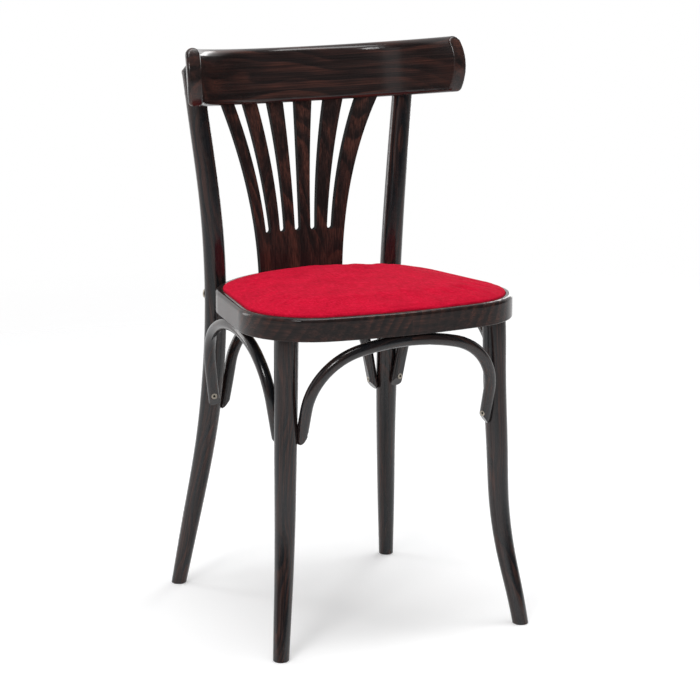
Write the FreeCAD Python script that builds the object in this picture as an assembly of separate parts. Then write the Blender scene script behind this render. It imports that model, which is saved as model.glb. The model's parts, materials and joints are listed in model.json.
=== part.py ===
import FreeCAD, Part
import math
import os

# Bentwood bistro chair with a fan back and an upholstered seat.
# Millimetres, +Z up, the floor at Z = 0. The front faces -Y. Left and right are as one sees them
# when looking at the chair from the front: left is -X. The chair is drawn about the middle of its
# seat, and moved at the end so that the middle of its whole floor plan is the origin.

Vec = FreeCAD.Vector
UP = Vec(0, 0, 1)

# Seat ring, a bent hoop with straight sides that close towards the rear
SEAT_TOP = 482.0
RING_DEPTH = 32.8
RING_WIDTH = 46.0
RING_FRONT = 194.6
RING_REAR = 190.0
RING_SIDE = 193.0
RING_TAPER = 10.2
FRONT_BOW_RADIUS = 770.0
REAR_BOW_PAST_SIDE = 9.0
FRONT_CORNER_RADIUS = 105.0
REAR_CORNER_RADIUS = 120.0
RING_TOP_ROUND = 5.5
RING_FOOT_ROUND = 1.5
RING_LAND = 9.0
RING_REAR_LAND = 22.0
REBATE_BOW_PAST_RING = 16.0
REBATE_DEPTH = 12.0

# Upholstered pad: plywood panel, foam and fabric cover
PANEL_THICKNESS = 8.0
PANEL_CLEARANCE = 0.8
FABRIC = 1.2
HEM_PAST_RING = 5.0
CROWN_HEIGHT = 16.5
CROWN_FLATNESS = 4.0
CROWN_FULLNESS = 1.4
CROWN_SCALES = (1.0, 0.93, 0.8, 0.6, 0.35, 0.08)
PAD_BULGE = 2.5
PAD_WIDEST_RISE = 4.0

# Front legs, each a tapered rod with a straight shank, a bend and a splayed foot
FRONT_LEG_TOP = (162.4, -131.0)
FRONT_KNEE = (171.0, -140.7, 148.0)
FRONT_FOOT = (192.2, -172.0)
FRONT_BEND_RADIUS = 560.0
FRONT_LEG_TOP_DIAMETER = 34.0
FRONT_FOOT_DIAMETER = 22.8
FRONT_TAPER_POWER = 1.6
TENON_DIAMETER = 22.0
TENON_LENGTH = 15.0

# Rear posts, each one rod from the floor to the top rail
POST_FOOT = (178.0, 234.0)
POST_KNEE = (130.0, 143.8, 410.0)
POST_HEAD = (173.1, 167.4, 790.0)
POST_BEND_RADIUS = 1320.0
POST_FOOT_DIAMETER = 23.3
POST_SEAT_DIAMETER = 32.2
POST_HEAD_DIAMETER = 30.0
POST_TAPER_TOP = 330.0
POST_TAPER_POWER = 1.1
POST_HEAD_CHAMFER = 9.0
FOOT_CHAMFER = 1.5

# Top rail, a bent board that leans back
RAIL_MIDDLE = (202.3, 730.5)
RAIL_RADIUS = 212.0
RAIL_THICKNESS = 21.0
RAIL_HEIGHT = 82.0
RAIL_LEAN = 8.0
RAIL_REACH_BOTTOM = 133.5
RAIL_REACH_BULGE = 147.5
RAIL_REACH_TOP = 134.5
RAIL_HALF_TURN = 85.0
RAIL_FOOT_ROUND = 7.0
RAIL_END_ROUND = 5.0

# Fan-shaped back splat. Three heights, and at each the depth of its front face, the radius of its
# hollow, its half width, and the centre and width of the middle, inner and outer slots
SPLAT_THICKNESS = 9.5
SPLAT_FACE = ((465.0, 171.5, 300.0), (610.0, 186.4, 215.0), (755.0, 213.0, 205.0))
SPLAT_EDGE = ((465.0, 67.0), (610.0, 83.9), (755.0, 134.7))
SLOT_HEIGHTS = (545.0, 650.0, 755.0)
SLOTS = (
    ((0.0, 9.6), (0.0, 14.2), (0.0, 22.5)),
    ((25.4, 9.9), (33.3, 14.0), (50.3, 21.9)),
    ((50.9, 9.4), (67.4, 12.3), (98.0, 20.8)),
)
SPLAT_TRIM = 25.0
SPLAT_SEAT_TENON = 10.0
SPLAT_RAIL_TENON = 10.0

# Arched braces between neighbouring legs
ARCH_DIAMETER = 17.0
ARCH_FOOT = 298.0
ARCH_STUB = 54.5
ARCH_CORNER_RADIUS = 92.0
ARCH_LEG_SEAT = 3.2
ARCH_POST_SEAT = 0.4
ARCH_RING_SEAT = 0.6
ARCH_TIP_ROUND = 7.5
ARCH_FLAT_DEPTH = 2.5
ARCH_BEVEL_DEPTH = 3.0
ARCH_BEVEL_HEIGHT = 16.0
# How far an arch's feet stand out from between its legs, and its top in from the ring's face
ARCH_SET_OUT = 2.4
ARCH_RING_INSET = 1.0
REAR_ARCH_SET_OUT = 1.4
REAR_ARCH_RING_INSET = 9.0
# How far an arch's end runs on below the height of its foot
SIDE_ARCH_REAR_OVERRUN = 6.0
REAR_ARCH_LEFT_OVERRUN = 18.0
REAR_ARCH_RIGHT_OVERRUN = 14.0
# Splay of an arch's two ends, in degrees; for a side arch, the front end comes first
FRONT_ARCH_SPLAYS = (1.5, 1.5)
SIDE_ARCH_SPLAYS = (4.0, 7.5)
REAR_ARCH_SPLAYS = (10.5, 10.5)

# Screws and bolts
SCREW_DIAMETER = 4.0
SCREW_HEAD_DIAMETER = 8.6
SCREW_HEAD_HEIGHT = 2.6
SCREW_SOCKET = 3.4
SCREW_SOCKET_DEPTH = 1.8
SCREW_PROUD = 0.5
ARCH_SCREW_RISE = 17.0
ARCH_SCREW_TIP_CLEARANCE = 5.0
ARCH_TOP_SCREW_SPACING = 60.0
ARCH_TOP_SCREW_GRIP = 15.0
RAIL_SCREW_RISES = (26.0, 56.0)
RAIL_SCREW_LET_IN = 0.2
RAIL_SCREW_GRIP = 13.0
PANEL_SCREW_DIAMETER = 3.5
PANEL_SCREW_HEAD_DIAMETER = 7.0
PANEL_SCREW_GRIP = 6.0
PANEL_SCREW_INSET = 32.0
PANEL_SCREW_SPREAD = 70.0
BOLT_DIAMETER = 6.0
BOLT_HEAD_DIAMETER = 15.0
BOLT_HEAD_HEIGHT = 3.5
BOLT_RISE = 10.0
WASHER_DIAMETER = 14.0
WASHER_THICKNESS = 1.5
NUT_FLATS = 10.0
NUT_HEIGHT = 5.0

# A distance past every side of the chair, for blocks that trim it
FAR = 1000.0

# Worked out from the sizes above
RING_BOTTOM = SEAT_TOP - RING_DEPTH
REBATE_FLOOR = SEAT_TOP - REBATE_DEPTH
PANEL_BOTTOM = REBATE_FLOOR + FABRIC
PANEL_TOP = PANEL_BOTTOM + PANEL_THICKNESS
ARCH_RADIUS = ARCH_DIAMETER / 2
TAPER = math.radians(RING_TAPER)
SIDE_NORMAL = Vec(math.cos(TAPER), math.sin(TAPER), 0)
SIDE_ALONG = Vec(-math.sin(TAPER), math.cos(TAPER), 0)
REAR_BOW_RADIUS = RING_SIDE + REAR_BOW_PAST_SIDE
REAR_BOW_CENTRE = Vec(0, RING_REAR - REAR_BOW_RADIUS, 0)
REBATE_REAR = RING_REAR - RING_REAR_LAND
REBATE_BOW_RADIUS = REAR_BOW_RADIUS + REBATE_BOW_PAST_RING


# Small helpers

def arc(start, middle, end):
    return Part.Arc(start, middle, end).toShape()


def line(start, end):
    return Part.makeLine(start, end)


def mirrored(point):
    return Vec(-point.x, point.y, point.z)


def flipped(shape):
    return shape.mirror(Vec(0, 0, 0), Vec(1, 0, 0))


def rod(start, end, radius):
    along = end - start
    return Part.makeCylinder(radius, along.Length, start, along)


def slab(low, high):
    """Everything between two heights."""
    return Part.makeBox(2 * FAR, 2 * FAR, high - low, Vec(-FAR, -FAR, low))


def edges_at_height(shape, height):
    return [
        edge for edge in shape.Edges
        if abs(edge.BoundBox.ZMin - height) < 1e-3 and abs(edge.BoundBox.ZMax - height) < 1e-3
    ]


# Seat outline: a front bow, two straight sides and a rear bow, joined by round corners

def corner_centre(bow_centre, bow_radius, side_distance, radius, end):
    """Centre of the corner arc that touches the bow and the side. end is -1 in front, 1 behind."""
    foot = SIDE_NORMAL * (side_distance - radius)
    offset = foot - bow_centre
    half = offset.dot(SIDE_ALONG)
    rest = offset.dot(offset) - (bow_radius - radius) ** 2
    return foot + SIDE_ALONG * (end * math.sqrt(half * half - rest) - half)


def ring_rear(inset):
    """How far back an outline that follows the ring's outer face reaches, and its rear bow's radius."""
    return RING_REAR - inset, REAR_BOW_RADIUS - inset


def pad_rear(inset):
    """The same for an outline that follows the rebate, which is flatter behind, before the splat."""
    return REBATE_REAR - inset, REBATE_BOW_RADIUS - inset


def outline(inset, rear, height, scale=1.0):
    """Closed seat outline, drawn in from the ring's outer face and scaled about its own middle."""
    rear_reach, rear_bow = rear
    front_bow_centre = Vec(0, FRONT_BOW_RADIUS - RING_FRONT, 0)
    rear_bow_centre = Vec(0, rear_reach - rear_bow, 0)
    front_bow = FRONT_BOW_RADIUS - inset
    side = RING_SIDE * math.cos(TAPER) - inset
    front_corner = FRONT_CORNER_RADIUS - inset
    rear_corner = REAR_CORNER_RADIUS - inset
    front_centre = corner_centre(front_bow_centre, front_bow, side, front_corner, -1)
    rear_centre = corner_centre(rear_bow_centre, rear_bow, side, rear_corner, 1)
    front_out = (front_centre - front_bow_centre).normalize()
    rear_out = (rear_centre - rear_bow_centre).normalize()
    points = [
        Vec(0, inset - RING_FRONT, 0),
        front_bow_centre + front_out * front_bow,
        front_centre + (front_out + SIDE_NORMAL).normalize() * front_corner,
        front_centre + SIDE_NORMAL * front_corner,
        rear_centre + SIDE_NORMAL * rear_corner,
        rear_centre + (rear_out + SIDE_NORMAL).normalize() * rear_corner,
        rear_bow_centre + rear_out * rear_bow,
        Vec(0, rear_reach, 0),
    ]
    middle = (points[0] + points[-1]) * 0.5
    right = [middle + (point - middle) * scale + UP * height for point in points]
    left = [mirrored(point) for point in right]
    return Part.Wire([
        arc(left[1], right[0], right[1]),
        arc(right[1], right[2], right[3]),
        line(right[3], right[4]),
        arc(right[4], right[5], right[6]),
        arc(right[6], right[7], left[6]),
        arc(left[6], left[5], left[4]),
        line(left[4], left[3]),
        arc(left[3], left[2], left[1]),
    ])


def outline_slab(inset, rear, low, high):
    return Part.Face(outline(inset, rear, low)).extrude(UP * (high - low))


# Seat ring and pad

def blank_ring():
    """Outside of the ring, filled in, before any edge is rounded."""
    return outline_slab(0, ring_rear(0), RING_BOTTOM, SEAT_TOP)


def seat_ring():
    body = blank_ring()
    body = body.makeFillet(RING_TOP_ROUND, edges_at_height(body, SEAT_TOP))
    body = body.makeFillet(RING_FOOT_ROUND, edges_at_height(body, RING_BOTTOM))
    hole = outline_slab(RING_WIDTH, ring_rear(RING_WIDTH), RING_BOTTOM - 1, SEAT_TOP + 1)
    rebate = outline_slab(RING_LAND, pad_rear(0), REBATE_FLOOR, SEAT_TOP + 1)
    return body.cut(hole).cut(rebate)


def pad_edge(extra):
    """The pad's outline as outline() takes it: its inset from the ring's, and its rear."""
    return RING_LAND + PANEL_CLEARANCE + extra, pad_rear(PANEL_CLEARANCE + extra)


def seat_panel():
    return outline_slab(*pad_edge(FABRIC), PANEL_BOTTOM, PANEL_TOP)


def crown(extra, lift):
    """Domed pad above the panel, drawn in where it meets the wood and widest just above it."""
    edge = pad_edge(extra)
    widest = pad_edge(extra - PAD_BULGE)
    base = SEAT_TOP + PAD_WIDEST_RISE
    wall = Part.makeLoft([
        outline(*edge, PANEL_TOP), outline(*edge, SEAT_TOP), outline(*widest, base),
    ], True, True)
    height = CROWN_HEIGHT - PAD_WIDEST_RISE + lift
    sections = []
    for scale in CROWN_SCALES:
        rise = height * (1 - scale ** CROWN_FLATNESS) ** (1 / CROWN_FULLNESS)
        sections.append(outline(*widest, base + rise, scale))
    dome = Part.makeLoft(sections, True, False)
    return wall.fuse(dome)


def seat_foam():
    return crown(FABRIC, 0)


def seat_cover():
    """Fabric over the foam, down the panel's edge and folded under it as a hem."""
    skirt = outline_slab(*pad_edge(0), REBATE_FLOOR, PANEL_TOP)
    hem_inset = RING_WIDTH + HEM_PAST_RING
    hem_hole = outline_slab(hem_inset, ring_rear(hem_inset), REBATE_FLOOR - 1, PANEL_BOTTOM)
    skin = crown(0, FABRIC).fuse(skirt)
    return skin.cut(seat_foam()).cut(seat_panel()).cut(hem_hole)


# Legs and posts: round tapered rods, straight, bent once, then straight again

def bent_stations(foot, knee, head, radius):
    """Points and directions along the axis of a rod that is bent once, at its knee."""
    before = (knee - foot).normalize()
    after = (head - knee).normalize()
    turn = before.getAngle(after)
    across = (after - before * math.cos(turn)).normalize()
    setback = radius * math.tan(turn / 2)
    bend_start = knee - before * setback
    bend_end = knee + after * setback
    stations = [(foot + (bend_start - foot) * share, before) for share in (0.0, 0.5)]
    for step in range(7):
        angle = turn * step / 6
        place = bend_start + before * (radius * math.sin(angle))
        place += across * (radius * (1 - math.cos(angle)))
        stations.append((place, before * math.cos(angle) + across * math.sin(angle)))
    stations += [(bend_end + (head - bend_end) * share, after) for share in (0.33, 0.67, 1.0)]
    return stations


def tapered_rod(stations, radius_at):
    """Smooth rod through circles square to its axis; radius_at gives the radius at a height."""
    rings = []
    for place, direction in stations:
        ring = Part.Wire([Part.makeCircle(radius_at(place.z))])
        ring.Placement = FreeCAD.Placement(place, FreeCAD.Rotation(UP, direction))
        rings.append(ring)
    return Part.makeLoft(rings, True, False)


def below_floor(point, towards):
    """The end of a foot's axis, carried on past the floor so that the floor can trim it."""
    away = (point - towards).normalize()
    return point + away * (FRONT_LEG_TOP_DIAMETER / abs(away.z))


def trimmed_foot(body, top):
    foot = body.common(slab(0, top))
    return foot.makeChamfer(FOOT_CHAMFER, edges_at_height(foot, 0))


def front_leg_radius(height):
    share = max(0.0, (RING_BOTTOM - height) / RING_BOTTOM)
    shrink = FRONT_LEG_TOP_DIAMETER - FRONT_FOOT_DIAMETER
    return (FRONT_LEG_TOP_DIAMETER - shrink * share ** FRONT_TAPER_POWER) / 2


def front_leg_axis():
    """Foot, knee and top of the right front leg's axis, with the top at the ring's underside."""
    return Vec(*FRONT_FOOT, 0), Vec(*FRONT_KNEE), Vec(*FRONT_LEG_TOP, RING_BOTTOM)


def front_leg():
    foot, knee, top = front_leg_axis()
    past_top = top + (top - knee).normalize() * TENON_LENGTH
    stations = bent_stations(below_floor(foot, knee), knee, past_top, FRONT_BEND_RADIUS)
    leg = trimmed_foot(tapered_rod(stations, front_leg_radius), RING_BOTTOM)
    return leg.fuse(leg_tenon())


def leg_tenon():
    top = front_leg_axis()[2]
    return rod(top, top + UP * TENON_LENGTH, TENON_DIAMETER / 2)


def post_radius(height):
    if height < POST_TAPER_TOP:
        share = (POST_TAPER_TOP - height) / POST_TAPER_TOP
        shrink = POST_SEAT_DIAMETER - POST_FOOT_DIAMETER
        return (POST_SEAT_DIAMETER - shrink * share ** POST_TAPER_POWER) / 2
    share = max(0.0, (height - SEAT_TOP) / (POST_HEAD[2] - SEAT_TOP))
    return (POST_SEAT_DIAMETER + (POST_HEAD_DIAMETER - POST_SEAT_DIAMETER) * share) / 2


def whole_post():
    """The right rear post before the ring, the rail and the screws are let into it."""
    foot, knee, head = Vec(*POST_FOOT, 0), Vec(*POST_KNEE), Vec(*POST_HEAD)
    stations = bent_stations(below_floor(foot, knee), knee, head, POST_BEND_RADIUS)
    body = trimmed_foot(tapered_rod(stations, post_radius), POST_HEAD[2] + POST_HEAD_DIAMETER)
    radius = post_radius(head.z)
    direction = (head - knee).normalize()
    cap = Part.makeCone(radius, radius - POST_HEAD_CHAMFER, POST_HEAD_CHAMFER, head, direction)
    return body.fuse(cap)


def leg_axis_at(axis, radius, height):
    """Point of a bent rod's axis at this height."""
    foot, knee, head = axis
    stations = bent_stations(foot, knee, head, radius)
    for (low, _), (high, _) in zip(stations, stations[1:]):
        if low.z <= height <= high.z:
            return low + (high - low) * ((height - low.z) / (high.z - low.z))
    raise ValueError("no such height on this axis")


def front_leg_at(height):
    return leg_axis_at(front_leg_axis(), FRONT_BEND_RADIUS, height)


def post_at(height):
    axis = Vec(*POST_FOOT, 0), Vec(*POST_KNEE), Vec(*POST_HEAD)
    return leg_axis_at(axis, POST_BEND_RADIUS, height)


# Top rail, made upright about its own bend centre and then leant back

def rail_placement():
    return FreeCAD.Placement(Vec(0, *RAIL_MIDDLE), FreeCAD.Rotation(Vec(1, 0, 0), -RAIL_LEAN))


def rail_section():
    """Board section in the middle plane: a full round on top and eased lower edges."""
    half = RAIL_THICKNESS / 2
    ease = RAIL_FOOT_ROUND
    shoulder = RAIL_HEIGHT - half
    bevel = ease * (1 - math.sqrt(0.5))

    def at(y, z):
        return Vec(0, y, z)

    return Part.Face(Part.Wire([
        line(at(ease, 0), at(RAIL_THICKNESS - ease, 0)),
        arc(at(RAIL_THICKNESS - ease, 0), at(RAIL_THICKNESS - bevel, bevel), at(RAIL_THICKNESS, ease)),
        line(at(RAIL_THICKNESS, ease), at(RAIL_THICKNESS, shoulder)),
        arc(at(RAIL_THICKNESS, shoulder), at(half, RAIL_HEIGHT), at(0, shoulder)),
        line(at(0, shoulder), at(0, ease)),
        arc(at(0, ease), at(bevel, bevel), at(ease, 0)),
    ]))


def whole_rail():
    axis = Vec(0, -RAIL_RADIUS, 0)
    section = rail_section()
    section.rotate(axis, UP, -RAIL_HALF_TURN)
    board = section.revolve(axis, UP, 2 * RAIL_HALF_TURN)
    reach = RAIL_RADIUS + RAIL_THICKNESS + 1
    low = Vec(-reach, -RAIL_REACH_BOTTOM, 0)
    middle = Vec(-reach, -RAIL_REACH_BULGE, RAIL_HEIGHT / 2)
    high = Vec(-reach, -RAIL_REACH_TOP, RAIL_HEIGHT)
    behind = Vec(0, 2 * reach, 0)
    keep = Part.Face(Part.Wire([
        arc(low, middle, high),
        line(high, high + behind),
        line(high + behind, low + behind),
        line(low + behind, low),
    ])).extrude(Vec(2 * reach, 0, 0))
    board = board.common(keep)
    ends = []
    for face in board.Faces:
        if face.BoundBox.YMax < -RAIL_REACH_TOP + RAIL_THICKNESS:
            ends += face.Edges
    board = board.makeFillet(RAIL_END_ROUND, ends)
    board.Placement = rail_placement()
    return board


# Back splat: a hollow board, sawn to a fan and slotted

def splat_blank():
    """Hollow board, wider than the fan, from the seat mortise to above the rail's underside."""
    reach = SPLAT_EDGE[-1][1] + SPLAT_TRIM
    sections = []
    for height, depth, radius in SPLAT_FACE:
        edge = depth - (radius - math.sqrt(radius * radius - reach * reach))
        front = [Vec(-reach, edge, height), Vec(0, depth, height), Vec(reach, edge, height)]
        back = [point + Vec(0, SPLAT_THICKNESS, 0) for point in front]
        sections.append(Part.Wire([
            arc(*front), line(front[2], back[2]), arc(*reversed(back)), line(back[0], front[0]),
        ]))
    return Part.makeLoft(sections, True, False)


def splat_outline():
    """Fan in front view: its two edges curve outwards as they rise."""
    right = [Vec(half, 0, height) for height, half in SPLAT_EDGE]
    left = [mirrored(point) for point in right]
    return Part.Wire([
        arc(*right), line(right[2], left[2]), arc(*reversed(left)), line(left[0], right[0]),
    ])


def slot_outline(slot):
    """One slot in front view, with a round foot; it runs out through the top of the splat."""
    right = [Vec(centre + width / 2, 0, height) for height, (centre, width) in zip(SLOT_HEIGHTS, slot)]
    left = [Vec(centre - width / 2, 0, height) for height, (centre, width) in zip(SLOT_HEIGHTS, slot)]
    foot = Vec(slot[0][0], 0, SLOT_HEIGHTS[0] - slot[0][1] / 2)
    return Part.Wire([
        arc(*right), line(right[2], left[2]), arc(*reversed(left)), arc(left[0], foot, right[0]),
    ])


def through_depth(wire):
    """Front-view outline carried through the whole back of the chair."""
    return Part.Face(wire).extrude(Vec(0, FAR, 0))


def back_splat():
    body = splat_blank().common(through_depth(splat_outline()))
    for slot in SLOTS:
        cut = through_depth(slot_outline(slot))
        body = body.cut(cut)
        if slot[0][0] > 0:
            body = body.cut(flipped(cut))
    body = body.common(slab(SEAT_TOP - SPLAT_SEAT_TENON, RAIL_MIDDLE[1] + RAIL_HEIGHT))
    above = slab(SPLAT_RAIL_TENON, FAR)
    above.Placement = rail_placement()
    return body.cut(above)


# Screws and bolts

def hexagon_prism(start, direction, flats, length):
    corners = []
    for step in range(7):
        angle = math.radians(60 * step)
        corners.append(Vec(math.cos(angle), math.sin(angle), 0) * (flats / math.sqrt(3)))
    prism = Part.Face(Part.makePolygon(corners)).extrude(UP * length)
    prism.Placement = FreeCAD.Placement(start, FreeCAD.Rotation(UP, direction))
    return prism


def screw_body(start, tip, reach_out=0.0):
    """Head and shank of a screw from the middle of its head's face to its tip."""
    direction = (tip - start).normalize()
    head_start = start - direction * reach_out
    head = rod(head_start, start + direction * SCREW_HEAD_HEIGHT, SCREW_HEAD_DIAMETER / 2)
    return head.fuse(rod(start, tip, SCREW_DIAMETER / 2))


def screw(start, tip):
    direction = (tip - start).normalize()
    socket = hexagon_prism(start, direction, SCREW_SOCKET, SCREW_SOCKET_DEPTH)
    return screw_body(start, tip).cut(socket)


def screw_hole(start, tip):
    """Room for a screw, with its counterbore open to the outside."""
    return screw_body(start, tip, SCREW_HEAD_DIAMETER)


def panel_screw_places():
    front_y = math.sqrt((FRONT_BOW_RADIUS - PANEL_SCREW_INSET) ** 2 - PANEL_SCREW_SPREAD ** 2)
    rear_y = math.sqrt((REAR_BOW_RADIUS - PANEL_SCREW_INSET) ** 2 - PANEL_SCREW_SPREAD ** 2)
    right = [
        Vec(PANEL_SCREW_SPREAD, FRONT_BOW_RADIUS - RING_FRONT - front_y, RING_BOTTOM),
        Vec(RING_SIDE - PANEL_SCREW_INSET / math.cos(TAPER), 0, RING_BOTTOM),
        Vec(PANEL_SCREW_SPREAD, REAR_BOW_CENTRE.y + rear_y, RING_BOTTOM),
    ]
    return right + [mirrored(place) for place in right]


def panel_screws():
    """Countersunk screws, up through the ring's ledge into the panel."""
    head = PANEL_SCREW_HEAD_DIAMETER / 2
    shank = PANEL_SCREW_DIAMETER / 2
    screws = []
    for place in panel_screw_places():
        cone = Part.makeCone(head, shank, head - shank, place)
        tip = Vec(place.x, place.y, PANEL_BOTTOM + PANEL_SCREW_GRIP)
        screws.append(cone.fuse(rod(place, tip, shank)))
    return Part.makeCompound(screws)


def post_bolt_line():
    """A point on the right post's axis, level with its bolt, and the way inwards along the bolt."""
    centre = post_at(RING_BOTTOM + BOLT_RISE)
    inward = Vec(REAR_BOW_CENTRE.x - centre.x, REAR_BOW_CENTRE.y - centre.y, 0).normalize()
    return centre, inward


def post_bolt():
    """Round-headed bolt, let into the back of the post until its whole head bears on it."""
    centre, inward = post_bolt_line()
    radius = post_radius(centre.z)
    seat = math.sqrt(radius ** 2 - (BOLT_HEAD_DIAMETER / 2) ** 2)
    bearing = centre - inward * seat
    head = rod(bearing - inward * BOLT_HEAD_HEIGHT, bearing, BOLT_HEAD_DIAMETER / 2)
    crown_edge = max(head.Edges, key=lambda edge: (edge.CenterOfMass - bearing).dot(inward * -1))
    head = head.makeFillet(BOLT_HEAD_HEIGHT * 0.7, [crown_edge])
    end = nut_start() + inward * (NUT_HEIGHT + BOLT_DIAMETER / 3)
    return head.fuse(rod(bearing, end, BOLT_DIAMETER / 2))


def washer_start():
    """Where the washer's rim meets the ring's hollow inner face."""
    centre, inward = post_bolt_line()
    inner_radius = REAR_BOW_RADIUS - RING_WIDTH
    distance = math.sqrt(inner_radius ** 2 - (WASHER_DIAMETER / 2) ** 2)
    middle = Vec(REAR_BOW_CENTRE.x, REAR_BOW_CENTRE.y, centre.z)
    return middle - inward * distance


def nut_start():
    return washer_start() + post_bolt_line()[1] * WASHER_THICKNESS


def post_bolt_washer():
    start = washer_start()
    disc = rod(start, nut_start(), WASHER_DIAMETER / 2)
    return disc.cut(post_bolt())


def post_bolt_nut():
    nut = hexagon_prism(nut_start(), post_bolt_line()[1], NUT_FLATS, NUT_HEIGHT)
    return nut.cut(post_bolt())


def rail_screw_lines():
    """Head and tip of each screw from the back of the right post into the rail."""
    placement = rail_placement()
    lines = []
    for rise in RAIL_SCREW_RISES:
        centre = post_at(RAIL_MIDDLE[1] + rise)
        local = placement.inverse().multVec(centre)
        spoke = Vec(local.x, local.y + RAIL_RADIUS, 0)
        outward = placement.Rotation.multVec(Vec(spoke).normalize())
        depth = spoke.Length - (RAIL_RADIUS + RAIL_THICKNESS - RAIL_SCREW_GRIP)
        start = centre + outward * (post_radius(centre.z) - RAIL_SCREW_LET_IN)
        lines.append((start, centre - outward * depth))
    return lines


# Arches: each is a bent rod in a plane that leans outwards, so that its top lies under the ring

class Arch:
    """One arch between two legs, each given as its axis and radius at a height, and its seat's depth."""

    def __init__(self, legs, set_out, ring_inset, splays, overruns):
        self.legs = legs
        centres = [leg[0](ARCH_FOOT) for leg in legs]
        self.along = (centres[1] - centres[0]).normalize()
        self.outward = self.along.cross(UP)
        if self.outward.dot(centres[0] + centres[1]) < 0:
            self.outward = self.outward * -1
        feet = [
            centre - self.along * (side * self.gap(leg)) + self.outward * set_out
            for side, centre, leg in zip((-1, 1), centres, legs)
        ]
        self.middle = (feet[0] + feet[1]) * 0.5
        half_span = (feet[1] - feet[0]).Length / 2
        reach = self.ring_reach() - ARCH_RADIUS - ring_inset
        rise = RING_BOTTOM + ARCH_RING_SEAT - ARCH_RADIUS - ARCH_FOOT
        self.slope = (self.outward * reach + UP * rise).normalize()
        self.height = math.hypot(reach, rise)
        # From here on, points are (across, up) in the arch's own leaning plane, as flat vectors
        self.feet = [Vec(-half_span, 0, 0), Vec(half_span, 0, 0)]
        self.stubs = []
        self.corners = []
        for side, foot, splay in zip((-1, 1), self.feet, splays):
            angle = math.radians(splay)
            stub = Vec(-side * math.sin(angle), math.cos(angle), 0)
            to_corner = Vec(-side * stub.y, side * stub.x, 0)
            self.stubs.append(stub)
            self.corners.append(foot + stub * ARCH_STUB + to_corner * ARCH_CORNER_RADIUS)
        self.tips = [foot - stub * run for foot, stub, run in zip(self.feet, self.stubs, overruns)]
        self.crown_centre, self.crown_radius = self.crown_circle()

    def gap(self, leg):
        """Distance between the axes of a leg and of the arch's foot beside it."""
        return leg[1](ARCH_FOOT) + ARCH_RADIUS - leg[2]

    def ring_reach(self):
        """How far out from between the arch's feet the ring's outer face lies."""
        if abs(self.outward.y) > abs(self.outward.x):
            face = RING_REAR if self.outward.y > 0 else RING_FRONT
            return face - abs(self.middle.y)
        normal = Vec(math.copysign(SIDE_NORMAL.x, self.outward.x), SIDE_NORMAL.y, 0)
        distance = RING_SIDE * math.cos(TAPER) - self.middle.dot(normal)
        return distance / self.outward.dot(normal)

    def crown_circle(self):
        """The circle that runs on smoothly from both corner bends and peaks at the arch's height."""
        left, right = self.corners
        bend = ARCH_CORNER_RADIUS
        rise_left, rise_right = self.height - left.y, self.height - right.y
        square_left = left.x ** 2 + rise_left ** 2 - bend ** 2
        square_right = right.x ** 2 + rise_right ** 2 - bend ** 2
        spare_left, spare_right = rise_left - bend, rise_right - bend
        squared = spare_right - spare_left
        linear = -2 * (spare_right * left.x - spare_left * right.x)
        constant = spare_right * square_left - spare_left * square_right
        root = math.sqrt(linear ** 2 - 4 * squared * constant)
        across = -2 * constant / (linear + math.copysign(root, linear))
        radius = ((across - left.x) ** 2 + rise_left ** 2 - bend ** 2) / (2 * spare_left)
        return Vec(across, self.height - radius, 0), radius

    def at(self, flat):
        """The point in space of a point in the arch's plane."""
        return self.middle + self.along * flat.x + self.slope * flat.y

    def bend(self, side):
        """Where one straight end turns into its corner bend."""
        return self.feet[side] + self.stubs[side] * ARCH_STUB

    def corner_arc(self, side):
        """Start, middle and end of one corner bend, from its straight end to the crown."""
        corner, start = self.corners[side], self.bend(side)
        end_out = (corner - self.crown_centre).normalize()
        middle_out = ((start - corner).normalize() + end_out).normalize()
        return start, corner + middle_out * ARCH_CORNER_RADIUS, corner + end_out * ARCH_CORNER_RADIUS

    def rod(self):
        """The whole rod, with its two tips rounded, before it is fitted to its neighbours."""
        left, right = [[self.at(flat) for flat in self.corner_arc(side)] for side in (0, 1)]
        peak = self.at(self.crown_centre + Vec(0, self.crown_radius, 0))
        tips = [self.at(tip) for tip in self.tips]
        path = Part.Wire([
            line(tips[0], left[0]), arc(*left), arc(left[2], peak, right[2]),
            arc(*reversed(right)), line(right[0], tips[1]),
        ])
        ring = Part.Wire([Part.makeCircle(ARCH_RADIUS, tips[0], left[0] - tips[0])])
        body = path.makePipeShell([ring], True, False)
        rims = [
            edge for edge in body.Edges
            if edge.Closed and edge.BoundBox.ZMax < ARCH_FOOT + ARCH_RADIUS
        ]
        return body.makeFillet(ARCH_TIP_ROUND, rims)

    def inward(self, side, place):
        """The level way from a point of the arch to the middle of the leg beside it."""
        return (self.legs[side][0](place.z) - place).normalize()

    def end_lines(self):
        """Head and tip of the screw through each end of the arch into its leg."""
        lines = []
        for side in (0, 1):
            place = self.at(self.tips[side] + self.stubs[side] * ARCH_SCREW_RISE)
            inward = self.inward(side, place)
            depth = ARCH_FLAT_DEPTH * (self.at(self.bend(side)) - place).Length / ARCH_STUB
            start = place - inward * (ARCH_RADIUS - depth + SCREW_PROUD)
            centre = self.legs[side][0](place.z)
            lines.append((start, centre - inward * ARCH_SCREW_TIP_CLEARANCE))
        return lines

    def planed(self, side, low, high):
        """Block on an end's free side, beyond the plane through two points, from the upper one down."""
        inward = self.inward(side, low)
        length = 2 * (high - low).Length
        block = Part.makeBox(ARCH_DIAMETER, 2 * ARCH_DIAMETER, length)
        block.translate(Vec(-ARCH_DIAMETER, -ARCH_DIAMETER, -length))
        turn = FreeCAD.Rotation(inward, inward.cross(UP) * -1, high - low, "ZXY")
        block.Placement = FreeCAD.Placement(high, turn).multiply(block.Placement)
        return block

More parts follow.
